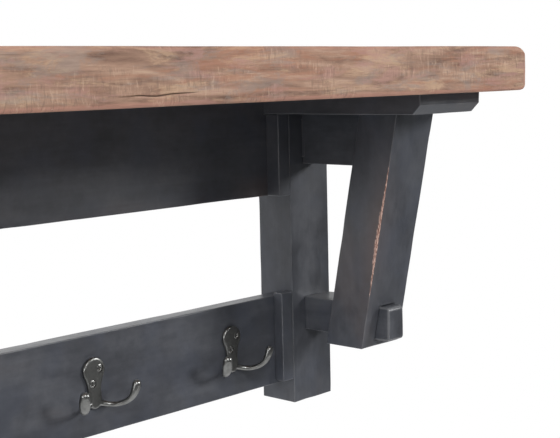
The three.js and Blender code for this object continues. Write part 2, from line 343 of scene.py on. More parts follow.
def build_screws(material):
    nodes = sorted(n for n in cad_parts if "_screw_" in n)
    for number, node in enumerate(nodes):
        middle, outward, radius, length = screw_place(node)
        turn = FIRST_TURN + NEXT_TURN * number
        points, faces = screw_mesh(radius, length - HEAD_STANDS_IN, turn)
        aim = outward.to_track_quat("Z", "Y").to_matrix()
        sunk = middle - outward * HEAD_STANDS_IN
        piece = mesh_object(f"{node}_steel", [sunk + aim @ Vector(p) for p in points], faces)
        finish_piece(piece, material, node, sharp_degrees=50)


def screw_holes(*kinds):
    """Shallow round holes for the heads of every screw whose node name starts as one of kinds."""
    cutters = []
    for node in sorted(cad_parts):
        if "_screw_" not in node or not node.startswith(kinds):
            continue
        middle, outward, radius, _ = screw_place(node)
        loop = round_loop(radius + HOLE_MARGIN, "xy" if outward.z else "xz")
        cutters.append(prism_cutter(loop, middle - outward * HOLE_DEPTH, outward * (HOLE_DEPTH + OVERSHOOT)))
    return cutters


# ---- Shader graphs ----

class Graph:
    """The nodes of a material or a world. Sockets are passed from one helper to the next."""

    def __init__(self, owner):
        self.owner = owner
        owner.use_nodes = True
        self.tree = owner.node_tree
        self.tree.nodes.clear()

    def link(self, source, target):
        self.tree.links.new(source, target)

    def feed(self, socket, value):
        if isinstance(value, bpy.types.NodeSocket):
            self.link(value, socket)
        else:
            socket.default_value = value

    def add(self, kind, **inputs):
        """A new node with its inputs fed. An underscore in their names stands for a space."""
        node = self.tree.nodes.new(kind)
        for key, value in inputs.items():
            self.feed(node.inputs[key.replace("_", " ")], value)
        return node

    def place(self, scale, shift):
        """Row-frame position times scale, which is features per metre along each axis."""
        position = self.add("ShaderNodeTexCoord").outputs["Object"]
        mapping = self.add("ShaderNodeMapping", Vector=position, Scale=scale, Location=shift)
        return mapping.outputs["Vector"]

    def noise(self, scale, detail=3.0, roughness=0.5, distortion=0.0, shift=(0, 0, 0)):
        node = self.add("ShaderNodeTexNoise", Vector=self.place(scale, shift), Scale=1.0, Detail=detail,
                        Roughness=roughness, Distortion=distortion)
        return node.outputs["Fac"]

    def cells(self, scale, shift=(0, 0, 0)):
        """Distance to the nearest of some scattered points."""
        node = self.add("ShaderNodeTexVoronoi", Vector=self.place(scale, shift), Scale=1.0)
        return node.outputs["Distance"]

    def math(self, operation, a, b=0.0, clamp=False):
        node = self.add("ShaderNodeMath")
        node.operation = operation
        node.use_clamp = clamp
        for socket, value in zip(node.inputs, (a, b)):
            self.feed(socket, value)
        return node.outputs["Value"]

    def total(self, *shares, clamp=False):
        """The sum of some values, each given with its share."""
        total = self.math("MULTIPLY", *shares[0])
        for value, share in shares[1:]:
            total = self.math("ADD", total, self.math("MULTIPLY", value, share), clamp)
        return total

    def span(self, value, low, high, to_low=0.0, to_high=1.0):
        """value moved from low..high to to_low..to_high, smoothly and without going past them."""
        node = self.add("ShaderNodeMapRange", Value=value, From_Min=low, From_Max=high, To_Min=to_low,
                        To_Max=to_high)
        node.interpolation_type = "SMOOTHSTEP"
        return node.outputs["Result"]

    def ramp(self, value, stops):
        """The colours of some stops, which are rising positions, each with a colour."""
        node = self.add("ShaderNodeValToRGB", Fac=value)
        elements = node.color_ramp.elements
        while len(elements) < len(stops):
            elements.new(1.0)
        for element, (position, color) in zip(elements, stops):
            element.position = position
            element.color = (*color, 1)
        return node.outputs["Color"]

    def mix(self, share, a, b):
        node = self.add("ShaderNodeMix")
        node.data_type = "RGBA"
        self.feed(node.inputs[0], share)
        for socket, color in ((node.inputs[6], a), (node.inputs[7], b)):
            self.feed(socket, (*color, 1) if isinstance(color, tuple) else color)
        return node.outputs[2]

    def over(self, color, mask, strength, layer):
        """color with another colour laid over it, as much as mask times strength."""
        return self.mix(self.math("MULTIPLY", mask, strength), color, layer)

    def attribute(self, name):
        node = self.add("ShaderNodeAttribute")
        node.attribute_name = name
        return node.outputs["Fac"]

    def bump(self, height, depth, strength, **under):
        """A normal from a height. under, as Normal, is the one that it goes on top of."""
        node = self.add("ShaderNodeBump", Height=height, Distance=depth, Strength=strength, **under)
        return node.outputs["Normal"]

    def surface(self, **inputs):
        """Ends a material's graph and gives the material."""
        shader = self.add("ShaderNodeBsdfPrincipled", **inputs)
        self.add("ShaderNodeOutputMaterial", Surface=shader.outputs["BSDF"])
        return self.owner


def new_material(name):
    return Graph(bpy.data.materials.new(name))


def black_paint(name, grain):
    """Satin black paint over timber, clouded by rubbing, lighter grey along the edges (partly worn paint,
    partly a painted highlight) and worn through to brown on them.
    """
    g = new_material(name)
    cloud = g.noise(along(grain, 9, 22), detail=4, roughness=0.62, distortion=0.4)
    streak = g.noise(along(grain, 14, 260), detail=3, roughness=0.6)
    mottle = g.noise((85, 85, 85), detail=4, roughness=0.66, shift=(3, 1, 2))
    tone = g.total((cloud, 0.62), (streak, 0.13), (mottle, 0.25))
    color = g.ramp(tone, [(0.34, (0.031, 0.033, 0.039)), (0.5, (0.046, 0.049, 0.058)),
                          (0.66, (0.066, 0.070, 0.081))])
    blue = g.span(g.noise((21, 21, 21), detail=3, shift=(9, 4, 6)), 0.45, 0.68)
    color = g.over(color, blue, 0.35, (0.047, 0.054, 0.074))

    edge = g.attribute("edge")
    rub = g.attribute("rub")
    rubbed = g.noise(along(grain, 16, 45), detail=5, roughness=0.7, shift=(5, 7, 1))
    # Lighter grey along the edges: partly paint worn by rubbing, partly a painted highlight where the
    # rounded edges would catch the light.
    worn_and_highlit_edge = g.span(g.total((edge, 1.0), (rubbed, 0.5)), 1.02, 1.30)
    color = g.over(color, worn_and_highlit_edge, 0.52, (0.145, 0.148, 0.156))
    haze = g.span(g.noise(along(grain, 5, 12), detail=3, shift=(1, 9, 4)), 0.56, 0.74)
    color = g.mix(g.total((haze, 0.16), (rub, 0.70), clamp=True), color, (0.108, 0.069, 0.052))

    fine = g.noise(along(grain, 190, 800), detail=3, roughness=0.7)
    bare = g.span(g.total((edge, 0.32), (rub, 1.1), (rubbed, 0.55), (fine, 0.42)), 1.20, 1.30)
    wood = g.mix(g.span(fine, 0.44, 0.56), (0.18, 0.075, 0.048), (0.54, 0.37, 0.31))
    color = g.over(color, bare, 0.85, wood)
    rough = g.total((g.span(tone, 0.35, 0.65, 0.33, 0.46), 1.0), (bare, 0.2))
    normal = g.bump(streak, 0.2 * MM, 0.22)
    normal = g.bump(mottle, 0.25 * MM, 0.35, Normal=normal)
    normal = g.bump(g.math("SUBTRACT", 1.0, bare), 0.12 * MM, 0.6, Normal=normal)
    return g.surface(Base_Color=color, Roughness=rough, Normal=normal, Specular_IOR_Level=0.5)


def plank_wood():
    """Reclaimed brown wood: blotches and wavy grain along X, saw ticks across it, grey patches."""
    g = new_material("plank_wood")
    knots = g.cells((2.6, 7, 17), shift=(0.35, 0.1, 0.4))
    near_knot = g.span(knots, 0.0, 0.34, 1.0, 0.0)
    drift = g.noise((2.2, 18, 24), detail=3, roughness=0.55, distortion=0.3)
    rings = g.math("SINE", g.total((drift, 70), (near_knot, 11)))
    rings = g.math("MULTIPLY", g.math("ADD", rings, 1.0), 0.5)
    broad = g.noise((4.5, 36, 40), detail=4, roughness=0.6, shift=(2, 4, 9))
    patch = g.noise((17, 80, 85), detail=5, roughness=0.68, distortion=0.7, shift=(6, 1, 3))
    streak = g.noise((10, 130, 210), detail=5, roughness=0.66, distortion=1.1)
    fibre = g.noise((55, 620, 820), detail=3, roughness=0.6)
    tone = g.total((broad, 0.24), (patch, 0.37), (streak, 0.23), (fibre, 0.08), (rings, 0.08))
    color = g.ramp(tone, [(0.39, (0.122, 0.069, 0.048)), (0.46, (0.220, 0.131, 0.092)),
                          (0.54, (0.292, 0.179, 0.125)), (0.64, (0.408, 0.280, 0.198))])

    # Drifts of other colours along the grain: red brown, straw, grey and rose.
    tints = (((7, 44, 52), (7, 2, 3), (0.285, 0.122, 0.072), 0.55),
             ((9, 42, 50), (1, 8, 6), (0.430, 0.292, 0.186), 0.58),
             ((15, 54, 58), (4, 5, 8), (0.205, 0.176, 0.160), 0.45),
             ((12, 50, 62), (3, 9, 1), (0.320, 0.180, 0.152), 0.60))
    for scale, shift, tint, share in tints:
        spread = g.span(g.noise(scale, detail=6, roughness=0.74, distortion=0.5, shift=shift), 0.50, 0.62)
        color = g.over(color, spread, share, tint)
    edge = g.span(g.attribute("edge"), 0.0, 0.75)
    blush = g.span(g.noise((7, 12, 14), detail=4, roughness=0.6, shift=(2, 6, 5)), 0.38, 0.58, 0.3, 0.75)
    color = g.over(color, edge, blush, (0.370, 0.190, 0.142))

    # Marks: saw ticks across the grain, dark dashes along it, knots, pale flecks and the cracks.
    saw = g.noise((330, 45, 70), detail=5, roughness=0.66, distortion=0.9)
    sawn = g.span(g.noise((13, 20, 44), detail=4, roughness=0.65, shift=(9, 3, 5)), 0.44, 0.58)
    saw_dark = g.math("MULTIPLY", g.span(saw, 0.52, 0.64), sawn)
    saw_light = g.math("MULTIPLY", g.span(saw, 0.34, 0.46, 1.0, 0.0), sawn)
    color = g.over(color, saw_dark, 0.46, (0.130, 0.086, 0.066))
    color = g.over(color, saw_light, 0.34, (0.500, 0.365, 0.265))
    dash = g.noise((15, 240, 360), detail=5, roughness=0.7, distortion=0.8, shift=(5, 5, 2))
    color = g.over(color, g.span(dash, 0.58, 0.68), 0.45, (0.120, 0.068, 0.050))
    color = g.over(color, g.span(knots, 0.02, 0.09, 1.0, 0.0), 0.4, (0.110, 0.062, 0.042))
    flecks = g.noise((70, 210, 300), detail=5, roughness=0.75, shift=(3, 3, 7))
    color = g.over(color, g.span(flecks, 0.66, 0.74), 0.4, (0.560, 0.430, 0.340))
    color = g.mix(g.span(g.attribute("crack"), 0.2, 0.8, 0.0, 0.9), color, (0.060, 0.034, 0.024))

    rough = g.span(tone, 0.3, 0.7, 0.78, 0.62)
    normal = g.bump(streak, 0.5 * MM, 0.45)
    normal = g.bump(saw, 0.5 * MM, 0.3, Normal=normal)
    normal = g.bump(fibre, 0.2 * MM, 0.4, Normal=normal)
    return g.surface(Base_Color=color, Roughness=rough, Normal=normal, Specular_IOR_Level=0.25)


def cast_metal():
    """Satin antique pewter: a smooth casting with a faint cloudy patina."""
    g = new_material("cast_metal")
    patina = g.noise((130, 130, 130), detail=4, roughness=0.6)
    skin = g.noise((900, 900, 900), detail=2, roughness=0.6)
    color = g.ramp(patina, [(0.35, (0.140, 0.142, 0.138)), (0.65, (0.196, 0.198, 0.192))])
    rough = g.span(patina, 0.35, 0.65, 0.40, 0.32)
    normal = g.bump(skin, 0.03 * MM, 0.1, Normal=g.bump(patina, 0.15 * MM, 0.15))
    return g.surface(Base_Color=color, Roughness=rough, Normal=normal, Metallic=1.0, Coat_Weight=0.3,
                     Coat_Roughness=0.15)


def screw_steel():
    """Antique nickel on screws, with fine scratches."""
    g = new_material("screw_steel")
    patina = g.noise((420, 420, 420), detail=3)
    scratch = g.noise((300, 2400, 900), detail=2)
    color = g.ramp(patina, [(0.35, (0.17, 0.170, 0.165)), (0.65, (0.25, 0.250, 0.243))])
    rough = g.span(scratch, 0.3, 0.7, 0.28, 0.38)
    normal = g.bump(scratch, 0.03 * MM, 0.3)
    return g.surface(Base_Color=color, Roughness=rough, Normal=normal, Metallic=1.0)


def zinc_plate():
    """Bright zinc on pressed steel, with a faint rolled grain."""
    g = new_material("zinc_plate")
    rolled = g.noise((90, 300, 1800), detail=3)
    spangle = g.cells((260, 260, 260))
    color = g.ramp(spangle, [(0.1, (0.52, 0.535, 0.55)), (0.8, (0.62, 0.63, 0.64))])
    rough = g.span(rolled, 0.3, 0.7, 0.28, 0.42)
    normal = g.bump(rolled, 0.03 * MM, 0.4)
    return g.surface(Base_Color=color, Roughness=rough, Normal=normal, Metallic=1.0)


# ---- Timbers ----

TIMBER_ROUND, RAIL_ROUND, TONGUE_ROUND = 1.0 * MM, 0.8 * MM, 0.5 * MM
TENON_ROUND = (0.9 * MM, 5 * MM, 5 * MM)

# The mesh's steps, the ripple on the faces and the wear on the edges, along the grain and across it.
TIMBER_STEPS = (9 * MM, 5 * MM)
FACE_RIPPLE, RIPPLE_SIZES = 0.12 * MM, (110 * MM, 22 * MM)
EDGE_WEAR, WEAR_SIZES = 0.8 * MM, (26 * MM, 14 * MM)
WEAR_THRESHOLD = 0.1
RIPPLE_SEED, WEAR_SEED = 11, 23
SEEDS = {"post": 40, "arm": 50, "strut": 60, "rail": 70, "tongue": 80, "tenon": 85, "batten": 90,
         "apron_board": 7, "hook_rail": 8}

STRUT_RUN = 52 * MM
ARM_NOSE = 10 * MM
NOSE_BEND = 0.8 * MM
TONGUE = 20 * MM
TONGUE_ROOT = 4 * MM
TONGUE_INSETS = {"upper": 8 * MM, "lower": 0.0}
TENON_WIDTH = 26 * MM
# How much stronger the tenon's edge value is: more worn edges and a brighter painted highlight on them.
TENON_WEAR_AND_HIGHLIGHT = 1.3
HANGER_SEAT_DEPTH = 2.3 * MM

# The pocket for the wall screw's head: two corners, from the hanger plate's middle on the wall.
HEAD_POCKET = ((-6.5 * MM, -13 * MM, -8 * MM), (6.5 * MM, OVERSHOOT, 15 * MM))

# The rim of the strut's mortise: how far it flares, and how far the wear and painted highlight round it
# reach.
RIM_FLARE, RIM_REACH = 1.1 * MM, 2.2 * MM

# How far the flared cutter starts in front of the strut.
RIM_OUTSIDE = 0.1 * MM

# The rubbed line on the strut's inner front edge: strength and reach from the edge, then where it
# starts and ends and how long it takes to fade there, as shares of the strut's height.
RUB_LINE, RUB_LINE_REACH = 0.56, 1.1 * MM
RUB_LINE_START, RUB_LINE_FADE_IN = 0.16, 0.2
RUB_LINE_END, RUB_LINE_FADE_OUT = 0.86, 0.12

# The brown haze beside it: strength and reach, middle and spread up the strut, share on the front.
RUB_HAZE, RUB_HAZE_REACH = 0.62, 20 * MM
RUB_HAZE_MIDDLE, RUB_HAZE_SPREAD = 0.48, 0.26
RUB_HAZE_ON_FRONT = 0.4

# Rubbed patches low on the apron: strength, how far up they reach, size and seed.
APRON_RUB, APRON_RUB_RISE = 0.5, 24 * MM
APRON_PATCH, APRON_PATCH_SEED = (90 * MM, 90 * MM, 25 * MM), 5


def timber_block(low, high, grain, seed, radius=TIMBER_ROUND, extra=((), (), ())):
    """A timber with gently rippled faces and edges that are knocked back here and there."""
    block = Block(low, high, radius, along(grain, *TIMBER_STEPS), extra)
    ripple = smooth_noise(block.points, along(grain, *RIPPLE_SIZES), seed + RIPPLE_SEED)
    knocks = smooth_noise(block.points, along(grain, *WEAR_SIZES), seed + WEAR_SEED)
    wear = np.clip(knocks - WEAR_THRESHOLD, 0, 1) * block.edge ** 3
    block.press(FACE_RIPPLE * (0.5 + 0.5 * ripple) + EDGE_WEAR * wear)
    return block


def timber_piece(node, block, material, rub=0.0, lean=None, cutters=()):
    points = lean(block.points) if lean else block.points
    rub = rub + np.zeros(len(points))
    piece = mesh_object(f"{node}_timber", points, block.quads, edge=block.edge, rub=rub)
    if cutters:
        cut_out(piece, cutters)
    finish_piece(piece, material, node)


def tongue_edges(label, side, rail):
    """Where a rail's tongue starts and ends along X. The lower rail's is the width of its tenon."""
    low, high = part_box(f"{label}_{rail}_side_rail")
    if rail == "upper":
        return low.x, high.x
    return (low.x, low.x + TENON_WIDTH) if side > 0 else (high.x - TENON_WIDTH, high.x)


def post_cutters(label, side):
    """Sockets for both side rails' tongues, the hanger plate's seat and the screw-head pocket."""
    post_low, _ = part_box(f"{label}_post")
    cutters = []
    for rail, inset in TONGUE_INSETS.items():
        low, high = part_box(f"{label}_{rail}_side_rail")
        depths = (post_low.y - OVERSHOOT, post_low.y + TONGUE + CLEARANCE)
        heights = (low.z + inset, high.z - inset)
        cutters.append(socket_cutter(tongue_edges(label, side, rail), depths, heights))
    low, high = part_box(f"{label}_hanger_plate")
    middle = (low + high) / 2
    radius = (high.x - low.x) / 2
    loop = round_loop(radius + CLEARANCE, "xz", rise=(high.z - low.z) / 2 - radius)
    back = Vector((middle.x, -HANGER_SEAT_DEPTH, middle.z))
    cutters.append(prism_cutter(loop, back, (0, HANGER_SEAT_DEPTH + OVERSHOOT, 0)))
    cutters.append(box_cutter(*(np.array((middle.x, 0, middle.z)) + corner for corner in HEAD_POCKET)))
    return cutters


def build_arm(label, side, paint):
    node = f"{label}_arm"
    low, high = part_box(node)
    nose = low.y + ARM_NOSE
    bend = (nose - NOSE_BEND, nose, nose + NOSE_BEND)
    block = timber_block(low, high, grain=1, seed=SEEDS["arm"] + side, extra=((), bend, ()))

    def chamfer(points):
        """Lifts the underside over the last stretch before the nose."""
        lift = np.clip(nose - points[:, 1], 0, None)
        share = (high.z - points[:, 2]) / (high.z - low.z)
        moved = points.copy()
        moved[:, 2] += lift * share
        return moved

    timber_piece(node, block, paint, lean=chamfer, cutters=screw_holes(f"{label}_plank"))


def strut_slope(label):
    """How far the strut's foot lies behind its top, for each unit of height."""
    low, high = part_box(f"{label}_strut")
    return (high.y - low.y - STRUT_RUN) / (high.z - low.z)


def rim_lines(*places):
    """Mesh lines close to these sides of the mortise, which carry the wear and painted highlight round its
    rim.
    """
    return [place + step * RIM_REACH for place in places for step in (-2, -1, 0, 1, 2)]


def strut_rub(block, low, high, side):
    """The rubbed line and the haze at every point of a strut."""
    x, y, z = block.points.T
    from_edge = np.hypot(x - (low.x if side > 0 else high.x), y - low.y)
    height = (z - low.z) / (high.z - low.z)
    fade_in = np.clip((height - RUB_LINE_START) / RUB_LINE_FADE_IN, 0, 1)
    fade_out = np.clip((RUB_LINE_END - height) / RUB_LINE_FADE_OUT, 0, 1)
    line = RUB_LINE * np.exp(-(from_edge / RUB_LINE_REACH) ** 2) * fade_in * fade_out
    middle = np.exp(-((height - RUB_HAZE_MIDDLE) / RUB_HAZE_SPREAD) ** 2)
    inner_face = np.clip(-side * block.out[:, 0], RUB_HAZE_ON_FRONT, 1)
    return line + RUB_HAZE * np.exp(-(from_edge / RUB_HAZE_REACH) ** 2) * middle * inner_face


def build_strut(label, side, paint):
    node = f"{label}_strut"
    low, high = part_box(node)
    post_low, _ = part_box(f"{label}_post")
    rail_low, rail_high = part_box(f"{label}_lower_side_rail")
    start, end = tongue_edges(label, side, "lower")
    block = timber_block(low, (high.x, low.y + STRUT_RUN, high.z), grain=2, seed=SEEDS["strut"] + side,
                         extra=(rim_lines(start, end), (), rim_lines(rail_low.z, rail_high.z)))
    x, _, z = block.points.T
    beside = np.clip(np.maximum(start - x, x - end), 0, None)
    above = np.clip(np.maximum(rail_low.z - z, z - rail_high.z), 0, None)
    # Round the mortise's rim the edge value is raised: worn paint and bare wood, and a painted highlight of
    # lighter grey.
    rim_wear_and_highlight = np.exp(-(np.hypot(beside, above) / RIM_REACH) ** 2) * (block.out[:, 1] < -0.5)
    block.edge = np.maximum(block.edge, rim_wear_and_highlight)
    slope = strut_slope(label)

    def lean(points):
        """Shears an upright strut so that its top stays and its foot moves back."""
        moved = np.array(points, float)
        moved[:, 1] += slope * (high.z - moved[:, 2])
        return moved

    heights = (rail_low.z, rail_high.z)
    through = socket_cutter((start, end), (rail_low.y - OVERSHOOT, post_low.y), heights)
    mouth = socket_cutter((start, end), (low.y - RIM_OUTSIDE, low.y + RIM_FLARE), heights,
                          lean=lean, grow=RIM_FLARE)
    timber_piece(node, block, paint, rub=strut_rub(block, low, high, side), lean=lean,
                 cutters=[through, mouth])


def joined_blocks(name, blocks):
    """One mesh of several timbers."""
    quads, start = [], 0
    for block in blocks:
        quads.append(block.quads + start)
        start += len(block.points)
    return mesh_object(name, np.concatenate([block.points for block in blocks]), np.concatenate(quads),
                       edge=np.concatenate([block.edge for block in blocks]), rub=np.zeros(start))


def build_side_rail(label, side, rail, paint):
    """A rail between post and strut. Its front end follows the strut's slanted back."""
    node = f"{label}_{rail}_side_rail"
    low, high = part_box(node)
    strut_low, strut_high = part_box(f"{label}_strut")
    post_low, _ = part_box(f"{label}_post")
    lean_top = strut_low.y + STRUT_RUN + CLEARANCE

    def strut_back(z):
        return lean_top + strut_slope(label) * (strut_high.z - z)

    # The front end is stretched so that it lies on the strut's back at every height.
    body = timber_block((low.x, lean_top, low.z), (high.x, post_low.y, high.z), grain=1,
                        seed=SEEDS["rail"] + side, radius=RAIL_ROUND)
    _, y, z = body.points.T
    share = (post_low.y - y) / (post_low.y - lean_top)
    body.points[:, 1] = post_low.y + (strut_back(z) - post_low.y) * share

    left, right = tongue_edges(label, side, rail)
    inset = TONGUE_INSETS[rail]
    tongue = timber_block(
        (left, post_low.y - TONGUE_ROOT, low.z + inset), (right, post_low.y + TONGUE, high.z - inset),
        grain=1, seed=SEEDS["tongue"] + side, radius=TONGUE_ROUND)
    blocks = [body, tongue]
    if rail == "lower":
        root = strut_back(low.z) + TONGUE_ROOT
        tenon = timber_block((left, low.y, low.z), (right, root, high.z), grain=1,
                             seed=SEEDS["tenon"] + side, radius=TENON_ROUND)
        # The tenon's stronger edge value gives it more worn edges and a brighter painted highlight.
        tenon.edge *= TENON_WEAR_AND_HIGHLIGHT
        blocks.append(tenon)
    finish_piece(joined_blocks(f"{node}_timber", blocks), paint, node)


def apron_notches():
    """Room for both arms in the apron's upper corners."""
    notches = []
    for label in SIDES:
        arm_low, arm_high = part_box(f"{label}_arm")
        post_low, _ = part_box(f"{label}_post")
        notches.append(socket_cutter((arm_low.x, arm_high.x), (post_low.y, OVERSHOOT),
                                     (arm_low.z, arm_high.z + OVERSHOOT)))
    return notches


def build_boards(paint):
    """The apron, with faint rubbed patches low on its front, and the hook rail."""
    apron, rail = (timber_block(*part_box(node), grain=0, seed=SEEDS[node])
                   for node in ("apron_board", "hook_rail"))
    low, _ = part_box("apron_board")
    rise = (apron.points[:, 2] - low.z) / APRON_RUB_RISE
    patch = np.clip(smooth_noise(apron.points, APRON_PATCH, APRON_PATCH_SEED), 0, 1)
    timber_piece("apron_board", apron, paint, rub=APRON_RUB * patch * np.exp(-rise ** 2),
                 cutters=apron_notches() + screw_holes(*(f"{label}_apron" for label in SIDES)))
    timber_piece("hook_rail", rail, paint, cutters=screw_holes(*(f"{label}_rail" for label in SIDES)))


def build_timbers(paint):
    for label, side in SIDES.items():
        post = timber_block(*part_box(f"{label}_post"), grain=2, seed=SEEDS["post"] + side)
        timber_piece(f"{label}_post", post, paint[2], cutters=post_cutters(label, side))
        build_arm(label, side, paint[1])
        build_strut(label, side, paint[2])
        for height in ("upper", "lower"):
            build_side_rail(label, side, height, paint[1])
            node = f"{label}_{height}_batten"
            batten = timber_block(*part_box(node), grain=2, seed=SEEDS["batten"] + side)
            timber_piece(node, batten, paint[2])
    build_boards(paint[0])


# ---- Plank ----

PLANK_ROUND = (1.8 * MM, 4 * MM, 6 * MM)
PLANK_STEPS = (4 * MM, 5 * MM, 2.5 * MM)

# The plank's waves, hollows and ridges: depth, wavelengths and seed.
PLANK_RELIEF = [
    (0.3 * MM, (160 * MM, 60 * MM, 25 * MM), 31), (0.25 * MM, (55 * MM, 24 * MM, 16 * MM), 32),
    (0.14 * MM, (90 * MM, 6 * MM, 4.5 * MM), 34),
]

# Dints in its edges: depth, wavelengths and seed, and the noise level that they start from.
DINT_DEPTH, DINT_SIZES, DINT_SEED = 1.3 * MM, (30 * MM, 18 * MM, 13 * MM), 33
DINT_THRESHOLD = 0.25

# How rosy the plank's upper half is along its edges, as a share of the lower half.
UPPER_EDGE_SHARE = 0.45

# How far the plank's end corners are rounded, along X and along Z, above and below.
TOP_CORNER = (16 * MM, 9 * MM)
BOTTOM_CORNER = (9 * MM, 2 * MM)

# Cracks: face, start and end along X, place across the face, drift, depth and width, all in mm.
CRACKS = [
    ("front", 36, 126, -15.2, 1.6, 1.4, 0.6), ("front", -420, -300, 4, -2.5, 1.0, 0.6),
    ("top", -610, -380, -96, 7, 2.2, 1.3), ("top", 250, 610, -190, -9, 2.4, 1.4),
    ("top", -120, 160, -52, 5, 1.6, 1.1), ("top", -300, 40, -231, 8, 1.8, 1.2),
    ("bottom", -250, 210, -70, 8, 1.8, 1.2),
]
CRACK_WANDER, CRACK_WANDER_LENGTH, CRACK_SEED = 0.8 * MM, 19 * MM, 3


def crack_lines(*faces):
    """Closely spaced mesh lines, enough to follow each crack in these faces."""
    lines = []
    for face, _, _, place, drift, _, width in CRACKS:
        if face in faces:
            low, high = sorted((place, place + drift))
            lines += [line * MM for line in np.arange(low - 2 * width, high + 2 * width, 0.75 * width)]
    return lines


def round_corners(points, low, high):
    """Rounds the plank's end corners, seen from the front, as quarter ellipses."""
    moved = points.copy()
    half = (high.z - low.z) / 2
    from_end = np.minimum(points[:, 0] - low.x, high.x - points[:, 0])
    for sign, (reach, drop) in ((1, TOP_CORNER), (-1, BOTTOM_CORNER)):
        share = np.clip(1 - from_end / reach, 0, 1)
        fall = drop * (1 - np.sqrt(1 - share ** 2))
        side = points[:, 2] * sign > 0
        moved[side, 2] *= (1 - fall / half)[side]
    return moved


def crack_shape(block, face, start, end, place, drift, width):
    """How deep in a crack every point is, from 0 to 1: the crack wanders and thins out at its ends."""
    x, y, z = block.points.T
    progress = (x - start * MM) / ((end - start) * MM)
    inside = np.clip(4 * progress * (1 - progress), 0, None) ** 0.5
    across = z if face == "front" else y
    line = np.stack([x, np.full_like(x, place * MM), np.zeros_like(x)], axis=1)
    wander = CRACK_WANDER * smooth_noise(line, CRACK_WANDER_LENGTH, CRACK_SEED)
    centre = place * MM + drift * MM * progress + wander
    facing = {"front": -block.out[:, 1], "top": block.out[:, 2], "bottom": -block.out[:, 2]}[face]
    return np.exp(-((across - centre) / (width * MM)) ** 2) * inside * (facing > 0.8)


def build_plank(material):
    low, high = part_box("shelf_plank")
    block = Block(low, high, PLANK_ROUND, PLANK_STEPS,
                  extra=((), crack_lines("top", "bottom"), crack_lines("front")))
    dints = np.clip(smooth_noise(block.points, DINT_SIZES, DINT_SEED) - DINT_THRESHOLD, 0, 1)
    depth = DINT_DEPTH * dints * block.edge ** 2
    for size, wavelengths, seed in PLANK_RELIEF:
        depth += size * (0.5 + 0.5 * smooth_noise(block.points, wavelengths, seed))
    crack = np.zeros(len(depth))
    for *line, cut, width in CRACKS:
        shape = crack_shape(block, *line, width)
        depth += cut * MM * shape
        crack = np.maximum(crack, shape)
    block.press(depth)
    rosy = block.edge * np.where(block.points[:, 2] < (low.z + high.z) / 2, 1, UPPER_EDGE_SHARE)
    points = round_corners(block.points, low, high)
    piece = mesh_object("plank", points, block.quads, edge=rosy, crack=crack)
    finish_piece(piece, material, "shelf_plank")


# ---- Hooks ----
# Sizes here are in mm, from the middle of the plate's round head.

# The prong's middle line as sideways, forward and up; then its width and thickness there.
PRONG = [
    ((1, 1.4, -33.0), 4.6, 7.0), ((8.5, 2.5, -35.4), 5.0, 6.2), ((15.4, 5.8, -37.4), 6.2, 5.7),
    ((20.3, 10.6, -37.6), 6.8, 5.5), ((23.3, 14.4, -36.6), 7.6, 5.5), ((26.7, 18.9, -34.5), 9.0, 5.8),
    ((30.2, 24.2, -29.4), 11.2, 6.8), ((32.3, 27.4, -22.2), 12.0, 8.2), ((33.0, 28.8, -16.4), 10.4, 8.8),
]
PRONG_STEPS = 6
PRONG_SIDES = 20
TIP_CAP = (0.35, 0.66, 0.87, 0.97)

# The plate's head, neck and foot as half widths, and the heights of the neck's curve and the foot.
PLATE_ROUND, PLATE_NECK, PLATE_FOOT = 13.5, 8.0, 8.7
NECK_BEND, NECK_END, FOOT_HEIGHT = -13, -22, -31.5
SHOULDER = math.radians(26)
HEAD_STEPS, NECK_STEPS, FOOT_STEPS = 28, 8, 12

# The plate's rounded rim, from its back to its front: how far in, and how far forward.
PLATE_RIM = [(0.0, 0.0), (0.0, 1.9), (0.25, 2.8), (0.8, 3.5), (1.6, 3.9), (2.6, 4.0), (4.2, 4.0)]

# The boss at the roots of the prongs: the height of its middle, and its half sizes.
BOSS_HEIGHT = -33.0
BOSS_HALF_SIZES = (8.2, 4.1, 7.4)

CAST_VOXEL = 0.6 * MM
CAST_SMOOTHING = 9


def catmull(before, a, b, after, t):
    """A smooth curve from a to b, at t from 0 to 1."""
    return 0.5 * (2 * a + (b - before) * t + (2 * before - 5 * a + 4 * b - after) * t * t
                  + (3 * a - before - 3 * b + after) * t ** 3)


def prong_shell(side):
    """One prong as a tapering oval bar, swept along its line, with a rounded tip."""
    rows = np.array([[*place, width, thickness] for place, width, thickness in PRONG], float)
    rows = np.vstack([2 * rows[0] - rows[1], rows, 2 * rows[-1] - rows[-2]])
    line = [catmull(*rows[i:i + 4], k / PRONG_STEPS)
            for i in range(len(rows) - 3) for k in range(PRONG_STEPS)]
    line.append(rows[-2])
    centres = [Vector((side * r[0], -r[1], r[2])) for r in line]
    sections = []
    up = Vector((0, 0, 1))
    for i, centre in enumerate(centres):
        ahead = centres[min(i + 1, len(centres) - 1)] - centres[max(i - 1, 0)]
        ahead.normalize()
        up = (up - ahead * up.dot(ahead)).normalized()
        sections.append((centre, ahead.cross(up), up.copy(), line[i][3] / 2, line[i][4] / 2))
    centre, wide, up, width, thick = sections[-1]
    ahead = up.cross(wide)
    cap_length = (width + thick) / 2
    for share in TIP_CAP:
        shrink = math.sqrt(1 - share ** 2)
        sections.append((centre + ahead * cap_length * share, wide, up, width * shrink, thick * shrink))
    angles = [2 * math.pi * k / PRONG_SIDES for k in range(PRONG_SIDES)]
    return loft([[centre + wide * width * math.cos(angle) + up * thick * math.sin(angle) for angle in angles]
                 for centre, wide, up, width, thick in sections])


